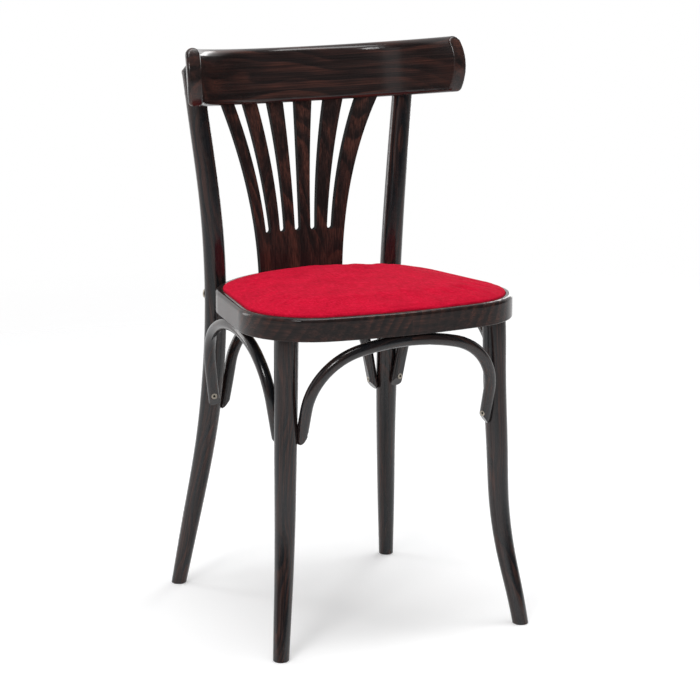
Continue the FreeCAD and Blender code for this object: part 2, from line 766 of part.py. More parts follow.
    def flats(self):
        """Blocks that plane each end: a flat that runs out where the rod bends, and a bevelled tip."""
        blocks = []
        for side in (0, 1):
            foot, bend = self.at(self.feet[side]), self.at(self.bend(side))
            inward = self.inward(side, foot)
            low = foot - inward * (ARCH_RADIUS - ARCH_FLAT_DEPTH)
            blocks.append(self.planed(side, low, bend - inward * ARCH_RADIUS))
            tip = self.at(self.tips[side])
            bevel_top = self.at(self.tips[side] + self.stubs[side] * ARCH_BEVEL_HEIGHT)
            low = tip + inward * ARCH_BEVEL_DEPTH
            blocks.append(self.planed(side, low, bevel_top - inward * ARCH_RADIUS))
        return blocks

    def top_lines(self):
        """Head and tip of each screw from under the arch's top into the ring."""
        half = ARCH_TOP_SCREW_SPACING / 2
        lift = math.sqrt(self.crown_radius ** 2 - half ** 2)
        lines = []
        for side in (-1, 1):
            place = self.at(self.crown_centre + Vec(side * half, lift, 0))
            start = place - UP * (ARCH_RADIUS - SCREW_HEAD_HEIGHT / 2)
            tip = Vec(place.x, place.y, RING_BOTTOM + ARCH_TOP_SCREW_GRIP)
            lines.append((start, tip))
        return lines


# Joinery: each piece is cut for the ones that pass through it or are let into it

def cut_all(body, tools):
    for tool in tools:
        body = body.cut(tool)
    return body


def build():
    right_leg = (front_leg_at, front_leg_radius, ARCH_LEG_SEAT)
    right_post = (post_at, post_radius, ARCH_POST_SEAT)
    left_leg = (lambda height: mirrored(front_leg_at(height)), front_leg_radius, ARCH_LEG_SEAT)
    left_post = (lambda height: mirrored(post_at(height)), post_radius, ARCH_POST_SEAT)
    side_shape = (ARCH_SET_OUT, ARCH_RING_INSET, SIDE_ARCH_SPLAYS, (0.0, SIDE_ARCH_REAR_OVERRUN))
    rear_overruns = (REAR_ARCH_LEFT_OVERRUN, REAR_ARCH_RIGHT_OVERRUN)
    arches = {
        "front_arch": Arch(
            (left_leg, right_leg), ARCH_SET_OUT, ARCH_RING_INSET, FRONT_ARCH_SPLAYS, (0.0, 0.0)
        ),
        "right_arch": Arch((right_leg, right_post), *side_shape),
        "rear_arch": Arch(
            (left_post, right_post), REAR_ARCH_SET_OUT, REAR_ARCH_RING_INSET,
            REAR_ARCH_SPLAYS, rear_overruns,
        ),
        "left_arch": Arch((left_leg, left_post), *side_shape),
    }
    end_lines = [pair for arch in arches.values() for pair in arch.end_lines()]
    top_lines = [pair for arch in arches.values() for pair in arch.top_lines()]
    rail_lines = rail_screw_lines()
    rail_lines += [(mirrored(start), mirrored(tip)) for start, tip in rail_lines]
    end_holes = [screw_hole(*ends) for ends in end_lines]
    top_holes = [screw_hole(*ends) for ends in top_lines]
    rail_holes = [screw_hole(*ends) for ends in rail_lines]

    leg = front_leg()
    post = whole_post()
    legs = [leg, flipped(leg), post, flipped(post)]
    bolts = [post_bolt(), flipped(post_bolt())]
    rail = whole_rail()
    splat = back_splat()
    blank = blank_ring()
    panel_fixings = panel_screws()
    tenons = [leg_tenon(), flipped(leg_tenon())]

    parts = {
        "seat_ring": cut_all(seat_ring(), tenons + [splat, panel_fixings] + bolts + top_holes),
        "seat_panel": seat_panel().cut(panel_fixings),
        "seat_foam": seat_foam(),
        "seat_cover": seat_cover().cut(panel_fixings),
        "front_left_leg": cut_all(legs[1], end_holes),
        "front_right_leg": cut_all(legs[0], end_holes),
        "rear_left_post": cut_all(legs[3], [blank, rail] + end_holes + rail_holes + bolts),
        "rear_right_post": cut_all(legs[2], [blank, rail] + end_holes + rail_holes + bolts),
        "top_rail": cut_all(rail, [splat] + rail_holes),
        "back_splat": splat,
    }
    for name, arch in arches.items():
        tools = legs + [blank] + arch.flats() + end_holes + top_holes
        parts[name] = cut_all(arch.rod(), tools)
    parts["arch_end_screws"] = Part.makeCompound([screw(*ends) for ends in end_lines])
    parts["arch_top_screws"] = Part.makeCompound([screw(*ends) for ends in top_lines])
    parts["rail_screws"] = Part.makeCompound([screw(*ends) for ends in rail_lines])
    parts["seat_panel_screws"] = panel_fixings
    parts["post_bolts"] = Part.makeCompound(bolts)
    for name, piece in (("post_bolt_washers", post_bolt_washer()), ("post_bolt_nuts", post_bolt_nut())):
        parts[name] = Part.makeCompound([piece, flipped(piece)])
    return parts


def main():
    parts = build()
    bounds = Part.makeCompound(list(parts.values())).optimalBoundingBox()
    to_middle = Vec(-bounds.Center.x, -bounds.Center.y, 0)
    os.makedirs("parts", exist_ok=True)
    for name, shape in parts.items():
        shape.translate(to_middle)
        shape.exportStep("parts/" + name + ".step")


main()
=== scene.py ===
import json
import math

import bpy
from mathutils import Euler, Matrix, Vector

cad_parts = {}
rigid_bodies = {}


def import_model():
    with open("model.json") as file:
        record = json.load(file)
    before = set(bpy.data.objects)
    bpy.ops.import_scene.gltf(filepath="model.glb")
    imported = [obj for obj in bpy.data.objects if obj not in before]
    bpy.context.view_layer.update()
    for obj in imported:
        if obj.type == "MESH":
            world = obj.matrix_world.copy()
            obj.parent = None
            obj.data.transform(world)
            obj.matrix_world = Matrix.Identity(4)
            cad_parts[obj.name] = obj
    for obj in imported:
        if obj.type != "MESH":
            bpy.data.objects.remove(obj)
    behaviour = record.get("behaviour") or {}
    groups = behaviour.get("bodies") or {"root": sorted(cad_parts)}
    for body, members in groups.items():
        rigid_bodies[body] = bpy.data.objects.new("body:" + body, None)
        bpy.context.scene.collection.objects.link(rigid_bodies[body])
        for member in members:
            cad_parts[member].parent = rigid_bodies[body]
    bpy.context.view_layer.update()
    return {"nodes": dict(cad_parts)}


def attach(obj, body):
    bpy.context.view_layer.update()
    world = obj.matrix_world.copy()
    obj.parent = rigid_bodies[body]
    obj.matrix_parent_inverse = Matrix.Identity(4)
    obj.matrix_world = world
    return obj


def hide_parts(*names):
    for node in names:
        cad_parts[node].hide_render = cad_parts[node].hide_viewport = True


for leftover in list(bpy.data.objects):
    bpy.data.objects.remove(leftover)
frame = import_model()
NODES = frame["nodes"]
MM = 0.001

# Places that the source also uses, in mm, with y counted from the seat's middle
FRAME_SHIFT = -24.89
RING_FRONT = 194.6
RING_REAR = 190.0
RING_SIDE = 193.0
RING_TAPER = math.radians(10.2)
FRONT_BOW_RADIUS = 770.0
REAR_BOW_RADIUS = 202.0
REBATE_REAR = 168.0
REBATE_BOW_RADIUS = 218.0
FRONT_CORNER_RADIUS = 105.0
REAR_CORNER_RADIUS = 120.0
REBATE_FLOOR = 470.0
PANEL_BOTTOM = 471.2
PANEL_TOP = 479.2
RING_LAND = 9.0
CLEARANCE = 0.8
PAD_TOP = 499.7
HEM_INSET = 51.0


# Materials: every surface is worked out in mm from the object's own coordinates

class Surface:
    """One node material and short calls that add to it."""

    def __init__(self, name):
        self.material = bpy.data.materials.new(name)
        self.material.use_nodes = True
        self.tree = self.material.node_tree
        self.shader = self.tree.nodes["Principled BSDF"]
        coordinates = self.tree.nodes.new("ShaderNodeTexCoord").outputs["Object"]
        self.place = self.vector("SCALE", coordinates, scale=1 / MM)

    def add(self, kind, inputs=(), **settings):
        node = self.tree.nodes.new(kind)
        for key, value in settings.items():
            setattr(node, key, value)
        for key, value in dict(inputs).items():
            self.feed(node.inputs[key], value)
        return node

    def feed(self, socket, value):
        if isinstance(value, bpy.types.NodeSocket):
            self.tree.links.new(value, socket)
        else:
            socket.default_value = value

    def math(self, operation, *values, clamp=False):
        node = self.add("ShaderNodeMath", enumerate(values), operation=operation)
        node.use_clamp = clamp
        return node.outputs[0]

    def vector(self, operation, *values, scale=None):
        inputs = dict(enumerate(values))
        if scale is not None:
            inputs["Scale"] = scale
        node = self.add("ShaderNodeVectorMath", inputs, operation=operation)
        return node.outputs["Value" if operation == "LENGTH" else "Vector"]

    def split(self, vector):
        return self.add("ShaderNodeSeparateXYZ", {0: vector}).outputs

    def join(self, x, y, z):
        return self.add("ShaderNodeCombineXYZ", {0: x, 1: y, 2: z}).outputs[0]

    def noise(self, vector, detail=2.0, roughness=0.5, distortion=0.0):
        """Soft noise from 0 to 1, one lump per unit of the vector."""
        inputs = {"Vector": vector, "Scale": 1.0, "Detail": detail, "Roughness": roughness}
        inputs["Distortion"] = distortion
        return self.add("ShaderNodeTexNoise", inputs).outputs[0]

    def between(self, value, low, high, to_low=0.0, to_high=1.0):
        inputs = {"Value": value, "From Min": low, "From Max": high}
        inputs.update({"To Min": to_low, "To Max": to_high})
        node = self.add("ShaderNodeMapRange", inputs, interpolation_type="SMOOTHSTEP")
        return node.outputs["Result"]

    def ramp(self, value, *stops):
        """Colour ramp; each stop is a position and a linear colour."""
        node = self.add("ShaderNodeValToRGB", {"Fac": value})
        elements = node.color_ramp.elements
        while len(elements) < len(stops):
            elements.new(1.0)
        for element, (position, colour) in zip(elements, stops):
            element.position = position
            element.color = (*colour, 1.0)
        return node.outputs["Color"]

    def blend(self, factor, first, second, how="MIX"):
        node = self.add("ShaderNodeMix", data_type="RGBA", blend_type=how)
        for socket, value in zip((0, 6, 7), (factor, first, second)):
            self.feed(node.inputs[socket], value)
        return node.outputs[2]

    def bump(self, height, depth_mm):
        inputs = {"Height": height, "Distance": depth_mm * MM, "Strength": 1.0}
        self.feed(self.shader.inputs["Normal"], self.add("ShaderNodeBump", inputs).outputs[0])

    def finish(self, colour=None, roughness=None, **constants):
        if colour is not None:
            self.feed(self.shader.inputs["Base Color"], colour)
        if roughness is not None:
            self.feed(self.shader.inputs["Roughness"], roughness)
        for key, value in constants.items():
            self.shader.inputs[key.replace("_", " ")].default_value = value
        return self.material


KNEE_SOFTNESS = 4.0


def leg_grain(surface, knee, slopes_x, slopes_y, sign):
    """Grain that runs up a leg and turns with it at its knee: across, across, along."""
    x, y, z = surface.split(surface.place)
    rise = surface.math("SUBTRACT", z, knee[2])

    def offset(slopes, meet):
        lines = [surface.math("MULTIPLY", rise, slope) for slope in slopes]
        return surface.math(meet, *lines, KNEE_SOFTNESS)

    meet_x = "SMOOTH_MAX"
    meet_y = "SMOOTH_MAX" if slopes_y[0] < 0 else "SMOOTH_MIN"
    across = surface.math("SUBTRACT", surface.math("MULTIPLY", x, sign), knee[0])
    across = surface.math("SUBTRACT", across, offset(slopes_x, meet_x))
    depth = surface.math("SUBTRACT", y, knee[1] + FRAME_SHIFT)
    depth = surface.math("SUBTRACT", depth, offset(slopes_y, meet_y))
    return surface.join(across, depth, z)


def bent_grain(surface, centre, turn, radius):
    """Grain that runs round a bend. turn brings the bend's axis upright: out, up, along."""
    moved = surface.vector("SUBTRACT", surface.place, centre)
    node = surface.add("ShaderNodeVectorRotate", {"Vector": moved}, rotation_type="EULER_XYZ")
    node.inputs["Rotation"].default_value = Euler(turn)
    x, y, z = surface.split(node.outputs[0])
    out = surface.vector("LENGTH", surface.join(x, y, 0.0))
    along = surface.math("MULTIPLY", surface.math("ARCTAN2", x, y), radius)
    return surface.join(surface.math("SUBTRACT", out, radius), z, along)


DARK = (0.0150, 0.0112, 0.0108)
# Bluish dark for the legs, posts and arches: the same stain with a painted tint of bluish reflections
REFLECTION_TINTED_DARK = (0.0080, 0.0092, 0.0112)
BROWN = (0.0270, 0.0158, 0.0142)
RED = (0.0640, 0.0270, 0.0205)
# Near black: painted shade on the sideways walls of cut panels
PAINTED_WALL_SHADE = (0.0050, 0.0040, 0.0040)

# How far the growth rings wander, in mm, and how rough and how deep the lacquered surface is
SWAY = 70.0
WAVER = 5.0
LACQUER_ROUGHNESS = (0.13, 0.19)
FLECK_ROUGHNESS = 0.05
SAWN_ROUGHNESS = 0.6
GRAIN_RELIEF = 0.012


def stained_wood(name, grain, pith, spacing, red=1.0, tilt=(0.05, 0.03), seed=0.0, gloss=0.5,
                 dark=DARK, dull_walls_with_painted_shade=False):
    """Steamed beech, stained dark, under glossy lacquer. grain gives across, depth and along in mm.
    pith is where the growth rings' centre lies across the piece, and tilt how far it leaves it.
    Walls sawn through a panel hold less lacquer, so they are dull; their dark colour is painted shade."""
    s = Surface(name)
    across, depth, along = s.split(grain(s))
    along = s.math("ADD", along, seed)

    def lumps(side, length, **settings):
        """Noise with lumps of this breadth and length, in mm."""
        return s.noise(s.join(s.math("DIVIDE", across, side), s.math("DIVIDE", depth, side),
                              s.math("DIVIDE", along, length)), **settings)

    sway = s.math("MULTIPLY", s.math("SUBTRACT", lumps(70.0, 190.0, detail=1.0), 0.5), SWAY)
    waver = s.math("MULTIPLY", s.math("SUBTRACT", lumps(16.0, 60.0, detail=2.0), 0.5), WAVER)
    ring_x = s.math("ADD", across, s.math("MULTIPLY_ADD", along, tilt[0], pith[0]))
    ring_y = s.math("ADD", depth, s.math("MULTIPLY_ADD", along, tilt[1], pith[1]))
    distance = s.vector("LENGTH", s.join(ring_x, ring_y, 0.0))
    distance = s.math("ADD", distance, s.math("ADD", sway, waver))
    layer = s.math("FRACT", s.math("DIVIDE", distance, spacing))
    late = s.math("MULTIPLY", s.between(layer, 0.15, 0.85), s.between(layer, 1.0, 0.88))
    patch = lumps(34.0, 120.0, detail=2.0)
    streak = lumps(7.0, 420.0, detail=2.0)
    fibre = lumps(1.5, 110.0, detail=3.0, roughness=0.6)
    fleck = lumps(0.45, 3.2, detail=1.0)
    warmth = s.math("MULTIPLY", late, s.between(patch, 0.35, 0.65, 0.15, 0.85))
    warmth = s.math("ADD", warmth, s.between(streak, 0.42, 0.66, 0.0, 0.4))
    warmth = s.math("MULTIPLY", warmth, s.between(fibre, 0.3, 0.7, 0.5 * red, 1.25 * red))
    stain = s.ramp(warmth, (0.0, dark), (0.3, BROWN), (1.0, RED))
    shade = s.math("MULTIPLY", s.between(fibre, 0.3, 0.72, 0.76, 1.32),
                   s.between(fleck, 0.62, 0.76, 1.0, 0.6))
    stain = s.blend(1.0, stain, s.join(shade, shade, shade), how="MULTIPLY")
    handled = s.noise(s.vector("SCALE", s.place, scale=0.02), detail=2.0)
    rough = s.between(handled, 0.3, 0.7, *LACQUER_ROUGHNESS)
    rough = s.math("ADD", rough, s.math("MULTIPLY", fleck, FLECK_ROUGHNESS))
    if dull_walls_with_painted_shade:
        facing = s.split(s.add("ShaderNodeTexCoord").outputs["Normal"])[1]
        wall_dullness_and_shade = s.between(s.math("ABSOLUTE", facing), 0.55, 0.25)
        rough = s.math("ADD", rough, s.math("MULTIPLY", wall_dullness_and_shade, SAWN_ROUGHNESS))
        # Painted shade: the sideways walls' colour is blended to near black
        stain = s.blend(wall_dullness_and_shade, stain, (*PAINTED_WALL_SHADE, 1.0))
    s.bump(s.math("ADD", fibre, s.math("MULTIPLY", fleck, 0.5)), GRAIN_RELIEF)
    return s.finish(stain, rough, Specular_IOR_Level=gloss)


def dress(node, material):
    for slot in NODES[node].material_slots:
        slot.material = material


# Where each bent piece's grain turns, in mm
KNEE_FRONT = (171.0, -140.7, 148.0)
FRONT_SLOPES = ((-0.143, -0.029), (0.212, 0.032))
KNEE_REAR = (130.0, 143.8, 410.0)
REAR_SLOPES = ((-0.117, 0.113), (-0.220, 0.062))
RAIL_GRAIN_CENTRE = (0.0, -9.7 + FRAME_SHIFT, 730.5)
RAIL_LEAN = math.radians(8.0)
RAIL_GRAIN_RADIUS = 212.0
RING_GRAIN_RADIUS = 190.0
ARCH_GRAIN_HEIGHT = 315.0
ARCH_GRAIN_RADIUS = 125.0


def wood_materials():
    for side, sign, seed in (("left", -1.0, 300.0), ("right", 1.0, 1400.0)):
        dress(f"front_{side}_leg", stained_wood(
            f"beech_front_{side}_leg",
            lambda s: leg_grain(s, KNEE_FRONT, *FRONT_SLOPES, sign),
            (21.0, 9.0), 6.0, red=0.6, tilt=(0.02, 0.01), seed=seed, gloss=0.45, dark=REFLECTION_TINTED_DARK))
        dress(f"rear_{side}_post", stained_wood(
            f"beech_rear_{side}_post",
            lambda s: leg_grain(s, KNEE_REAR, *REAR_SLOPES, sign),
            (3.0, 19.0), 7.0, red=0.7, tilt=(0.01, 0.015), seed=seed + 77.0, gloss=0.4, dark=REFLECTION_TINTED_DARK))
    dress("top_rail", stained_wood(
        "beech_top_rail",
        lambda s: bent_grain(s, RAIL_GRAIN_CENTRE, (RAIL_LEAN, 0, 0), RAIL_GRAIN_RADIUS),
        (58.0, -25.0), 17.0, tilt=(0.03, 0.06), seed=820.0, gloss=0.4))
    dress("back_splat", stained_wood(
        "beech_back_splat", lambda s: s.place,
        (22.0, 60.0), 11.0, tilt=(0.035, 0.06), seed=150.0, gloss=0.15, dull_walls_with_painted_shade=True))
    dress("seat_ring", stained_wood(
        "beech_seat_ring",
        lambda s: bent_grain(s, (0.0, FRAME_SHIFT, 0.0), (0, 0, 0), RING_GRAIN_RADIUS),
        (30.0, -466.0), 36.0, tilt=(0.0, 2.4), seed=40.0, gloss=0.25, red=0.9))
    upright = math.radians(90.0)
    arches = {
        "front_arch": ((0.0, -190.0, ARCH_GRAIN_HEIGHT), (upright, 0, 0)),
        "rear_arch": ((0.0, 149.0, ARCH_GRAIN_HEIGHT), (upright, 0, 0)),
        "left_arch": ((-167.0, -10.0, ARCH_GRAIN_HEIGHT), (0, upright, 0)),
        "right_arch": ((167.0, -10.0, ARCH_GRAIN_HEIGHT), (0, upright, 0)),
    }
    for index, (node, (centre, turn)) in enumerate(arches.items()):
        dress(node, stained_wood(
            f"beech_{node}", lambda s: bent_grain(s, centre, turn, ARCH_GRAIN_RADIUS),
            (14.0, 8.0), 6.0, red=0.5, tilt=(0.02, 0.02), seed=260.0 * index, dark=REFLECTION_TINTED_DARK))


# How far the painted recess shade reaches, in metres
PAINTED_SHADE_REACH = 0.004
PLY_LAYER = 1.6
THREAD_PITCH = 1.15
THREAD_WAVER = 1.6
WEAVE_RELIEF = 0.16


def metal():
    """Nickelled steel, a little dulled, with fine turning marks and painted shade darkening its
    recesses.
    """
    s = Surface("nickelled_steel")
    marks = s.noise(s.vector("SCALE", s.place, scale=2.5), detail=3.0)
    tint = s.ramp(marks, (0.3, (0.30, 0.26, 0.21)), (0.7, (0.46, 0.42, 0.36)))
    # Painted shade: ambient occlusion blends the colour to near black inside the screw heads' recesses
    painted_recess_shade = s.add("ShaderNodeAmbientOcclusion", {"Distance": PAINTED_SHADE_REACH}, samples=8)
    tint = s.blend(s.between(painted_recess_shade.outputs["AO"], 0.5, 0.85), (0.004, 0.004, 0.004, 1), tint)
    s.bump(marks, 0.03)
    return s.finish(tint, s.between(marks, 0.3, 0.7, 0.28, 0.42), Metallic=1.0)


def plywood():
    """Beech plywood: pale veneer with long fibres, and its layers on the edge."""
    s = Surface("beech_plywood")
    x, y, z = s.split(s.place)
    figure = s.noise(s.join(s.math("MULTIPLY", x, 0.05), s.math("MULTIPLY", y, 0.008),
                            s.math("MULTIPLY", z, 0.1)), detail=4.0, distortion=0.6)
    fibre = s.noise(s.join(s.math("MULTIPLY", x, 1.1), s.math("MULTIPLY", y, 0.03), z), detail=3.0)
    colour = s.ramp(figure, (0.3, (0.50, 0.33, 0.19)), (0.55, (0.58, 0.41, 0.25)),
                    (0.75, (0.44, 0.28, 0.15)))
    shade = s.between(fibre, 0.3, 0.7, 0.82, 1.08)
    layer = s.math("FRACT", s.math("DIVIDE", s.math("SUBTRACT", z, PANEL_BOTTOM), PLY_LAYER))
    shade = s.math("MULTIPLY", shade, s.between(layer, 0.86, 0.98, 1.0, 0.75))
    colour = s.blend(1.0, colour, s.join(shade, shade, shade), how="MULTIPLY")
    s.bump(fibre, 0.04)
    return s.finish(colour, s.between(fibre, 0.2, 0.8, 0.55, 0.75))


def red_fabric():
    """Flat woven wool mix: fine threads both ways, small slubs and a soft nap."""
    s = Surface("crimson_weave")
    x, y, z = s.split(s.place)
    waver = s.noise(s.vector("SCALE", s.place, scale=0.12), detail=2.0)
    waver = s.math("MULTIPLY", s.math("SUBTRACT", waver, 0.5), THREAD_WAVER)
    turn = 2 * math.pi / THREAD_PITCH
    warp = s.math("SINE", s.math("MULTIPLY", s.math("ADD", x, waver), turn))
    weft = s.math("SINE", s.math("MULTIPLY", s.math("ADD", y, waver), turn))
    over = s.math("MULTIPLY", warp, weft)
    thread = s.math("ADD", s.math("MULTIPLY", over, 0.5), 0.5)
    warp_slub = s.noise(s.join(s.math("MULTIPLY", x, 0.07), s.math("MULTIPLY", y, 0.55), z), detail=3.0)
    weft_slub = s.noise(s.join(s.math("MULTIPLY", x, 0.45), s.math("MULTIPLY", y, 0.09), z), detail=3.0)
    slub = s.math("MULTIPLY", s.math("ADD", warp_slub, weft_slub), 0.5)
    nap = s.noise(s.vector("SCALE", s.place, scale=0.03), detail=3.0)
    colour = s.ramp(slub, (0.34, (0.44, 0.0028, 0.020)), (0.5, (0.57, 0.0045, 0.029)),
                    (0.66, (0.69, 0.0130, 0.050)))
    shade = s.math("MULTIPLY", s.between(thread, 0.0, 1.0, 0.84, 1.06),
                   s.between(nap, 0.3, 0.7, 0.92, 1.05))
    colour = s.blend(1.0, colour, s.join(shade, shade, shade), how="MULTIPLY")
    s.bump(s.math("ADD", thread, s.math("MULTIPLY", slub, 2.0)), WEAVE_RELIEF)
    return s.finish(colour, s.between(slub, 0.35, 0.65, 0.85, 0.95), Specular_IOR_Level=0.03,
                    Sheen_Weight=0.04, Sheen_Roughness=0.5, Sheen_Tint=(1.0, 0.4, 0.5, 1.0))


# Seat outline, as the source has it: two bows and two straight sides with round corners.
# Each stretch gets this many points, from the middle of the front round to the rear.

FRONT_BOW_POINTS = 20
FRONT_CORNER_POINTS = 22
SIDE_POINTS = 14
REAR_CORNER_POINTS = 16
REAR_BOW_POINTS = 18


def corner_centre(bow_centre, bow_radius, side, radius, end):
    normal = Vector((math.cos(RING_TAPER), math.sin(RING_TAPER)))
    along = Vector((-math.sin(RING_TAPER), math.cos(RING_TAPER)))
    foot = normal * (side - radius)
    offset = foot - bow_centre
    half = offset.dot(along)
    rest = offset.dot(offset) - (bow_radius - radius) ** 2
    return foot + along * (end * math.sqrt(half * half - rest) - half)


def swept(centre, radius, start, end, count):
    """Points on an arc from one direction to another, without the last one."""
    angles = [start + (end - start) * step / count for step in range(count)]
    return [centre + Vector((math.cos(a), math.sin(a))) * radius for a in angles]


def ring_edge(inset):
    """An outline that follows the ring's outer face: its inset, its rear and its rear bow's radius."""
    return inset, RING_REAR - inset, REAR_BOW_RADIUS - inset


def pad_edge(extra):
    """An outline that follows the pad's edge, which is flatter behind, in front of the splat."""
    inset = CLEARANCE + extra
    return RING_LAND + inset, REBATE_REAR - inset, REBATE_BOW_RADIUS - inset


def outline(inset, rear_reach, rear_bow_radius):
    """Points along the right half of the outline, front middle first, then along the left half."""
    front_bow = Vector((0.0, FRONT_BOW_RADIUS - RING_FRONT))
    rear_bow = Vector((0.0, rear_reach - rear_bow_radius))
    side = RING_SIDE * math.cos(RING_TAPER) - inset
    front_radius = FRONT_CORNER_RADIUS - inset
    rear_radius = REAR_CORNER_RADIUS - inset
    front = corner_centre(front_bow, FRONT_BOW_RADIUS - inset, side, front_radius, -1)
    rear = corner_centre(rear_bow, rear_bow_radius, side, rear_radius, 1)
    front_turn = math.atan2(*reversed(front - front_bow))
    rear_turn = math.atan2(*reversed(rear - rear_bow))
    right = swept(front_bow, FRONT_BOW_RADIUS - inset, -math.pi / 2, front_turn, FRONT_BOW_POINTS)
    right += swept(front, front_radius, front_turn, RING_TAPER, FRONT_CORNER_POINTS)
    normal = Vector((math.cos(RING_TAPER), math.sin(RING_TAPER)))
    start, end = front + normal * front_radius, rear + normal * rear_radius
    right += [start + (end - start) * (step / SIDE_POINTS) for step in range(SIDE_POINTS)]
    right += swept(rear, rear_radius, RING_TAPER, rear_turn, REAR_CORNER_POINTS)
    right += swept(rear_bow, rear_bow_radius, rear_turn, math.pi / 2, REAR_BOW_POINTS)
    right.append(Vector((0.0, rear_reach)))
    left = [Vector((-point.x, point.y)) for point in reversed(right[1:-1])]
    return right + left


def ring_of_points(edge, height, scale=1.0):
    points = outline(*edge)
    middle = Vector((0.0, (points[0].y + edge[1]) / 2))
    places = [middle + (point - middle) * scale for point in points]
    return [Vector((p.x * MM, (p.y + FRAME_SHIFT) * MM, height * MM)) for p in places]


def lofted(name, rings, close_last=True, close_first=True):
    """Mesh object through rings of points, closed by a point at each end where asked."""
    count = len(rings[0])
    points = [point for ring in rings for point in ring]
    faces = []
    for row in range(len(rings) - 1):
        for step in range(count):
            after = (step + 1) % count
            faces.append((row * count + step, row * count + after,
                          (row + 1) * count + after, (row + 1) * count + step))
    for wanted, row, flip in ((close_first, 0, True), (close_last, len(rings) - 1, False)):
        if not wanted:
            continue
        middle = sum(rings[row], Vector()) / count
        points.append(middle)
        for step in range(count):
            edge = [row * count + step, row * count + (step + 1) % count]
            faces.append((*(reversed(edge) if flip else edge), len(points) - 1))
    mesh = bpy.data.meshes.new(name)
    mesh.from_pydata(points, [], faces)
    mesh.shade_smooth()
    piece = bpy.data.objects.new(name, mesh)
    bpy.context.scene.collection.objects.link(piece)
    return piece


# Cushion: a crowned pad blown up by a cloth run, tight at the wood and full in the middle

PAD_BASE = 484.0
PAD_BULGE = 0.3
PAD_ROOT = 466.0
CROWN_STEPS = 26
START_SHARE = 0.86
SWELL_LIMIT = 2.2
VOXEL = 3.6
PAD_UNDERSIDE = PANEL_TOP + 0.1
UNDERSIDE_SHARES = (0.4, 0.7, 0.9, 1.0)
CROWN_POWER = 4.5
HELD_RISE = 0.6
CLOTH_PRESSURE = 4.0
CLOTH_FRAMES = 20


def crown_height(scale):
    return (1 - scale ** CROWN_POWER) ** 0.5


def pad_form(root, full):
    """The closed form from its flat underside, at the height root, up to a crown this full."""
    edge = pad_edge(-PAD_BULGE)
    rings = [ring_of_points(edge, root, share) for share in UNDERSIDE_SHARES]
    for step in range(CROWN_STEPS):
        turn = step / CROWN_STEPS
        scale = math.cos(turn * math.pi / 2) if turn < 0.5 else 2 * (1 - turn) * math.cos(math.pi / 4)
        rings.append(ring_of_points(edge, PAD_BASE + full * crown_height(scale), scale))
    return lofted("seat_pad", rings)


def remeshed(piece):
    remesh = piece.modifiers.new("even_mesh", "REMESH")
    remesh.mode = "VOXEL"
    remesh.voxel_size = VOXEL * MM
    graph = bpy.context.evaluated_depsgraph_get()
    mesh = bpy.data.meshes.new_from_object(piece.evaluated_get(graph))
    piece.modifiers.clear()
    piece.data = mesh


def blown_up(piece):
    """Runs the pad as cloth under pressure, held at the wood, and caps how far a point moves."""
    held = piece.vertex_groups.new(name="held")
    below = (PAD_BASE + HELD_RISE) * MM
    held.add([point.index for point in piece.data.vertices if point.co.z < below], 1.0, "REPLACE")
    cloth = piece.modifiers.new("cloth", "CLOTH")
    cloth.settings.use_pressure = True
    cloth.settings.uniform_pressure_force = CLOTH_PRESSURE
    cloth.settings.effector_weights.gravity = 0.0
    cloth.settings.vertex_group_mass = held.name
    for frame_number in range(1, CLOTH_FRAMES + 1):
        bpy.context.scene.frame_set(frame_number)
    graph = bpy.context.evaluated_depsgraph_get()
    swollen = [point.co.copy() for point in piece.evaluated_get(graph).data.vertices]
    piece.modifiers.clear()
    for point, target in zip(piece.data.vertices, swollen):
        move = target - point.co
        if move.length > SWELL_LIMIT * MM:
            move *= SWELL_LIMIT * MM / move.length
        point.co += move
        point.co.z = min(max(point.co.z, PAD_UNDERSIDE * MM), PAD_TOP * MM)
    bpy.context.scene.frame_set(1)


def cushion():
    full = PAD_TOP - PAD_BASE
    piece = pad_form(PAD_ROOT, full * START_SHARE)
    remeshed(piece)
    blown_up(piece)
    piece.data.shade_smooth()
    smooth = piece.modifiers.new("smooth", "SUBSURF")
    smooth.levels = smooth.render_levels = 1
    piece.data.materials.clear()
    piece.data.materials.append(red_fabric())
    return piece


HEM_INNER = 1.1
HEM_GAP = 0.1
HEM_ROUND = 1.0


def hem():
    """Fabric down the panel's edge and folded under it, round the opening in the ring."""
    path = [
        (pad_edge(HEM_INNER), PANEL_TOP),
        (pad_edge(HEM_INNER), PANEL_BOTTOM - HEM_GAP),
        (ring_edge(HEM_INSET - HEM_ROUND), PANEL_BOTTOM - HEM_GAP),
        (ring_edge(HEM_INSET), PANEL_BOTTOM - 0.4),
        (ring_edge(HEM_INSET), REBATE_FLOOR + 0.3),
        (ring_edge(HEM_INSET - HEM_ROUND), REBATE_FLOOR),
        (pad_edge(1.5), REBATE_FLOOR),
        (pad_edge(0.2), REBATE_FLOOR + 1.0),
        (pad_edge(0.0), PANEL_TOP),
    ]
    rings = [ring_of_points(*station) for station in path]
    piece = lofted("pad_hem", rings, close_last=False, close_first=False)
    piece.data.materials.append(red_fabric())
    return piece


wood_materials()
steel = metal()
for name in ("arch_end_screws", "arch_top_screws", "rail_screws", "seat_panel_screws",
             "post_bolts", "post_bolt_washers", "post_bolt_nuts"):
    dress(name, steel)
dress("seat_panel", plywood())

pad = cushion()
pad_hem = hem()
for piece in (pad, pad_hem):
    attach(piece, "root")
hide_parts("seat_foam")
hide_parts("seat_cover")


# Floor, background, lights and camera

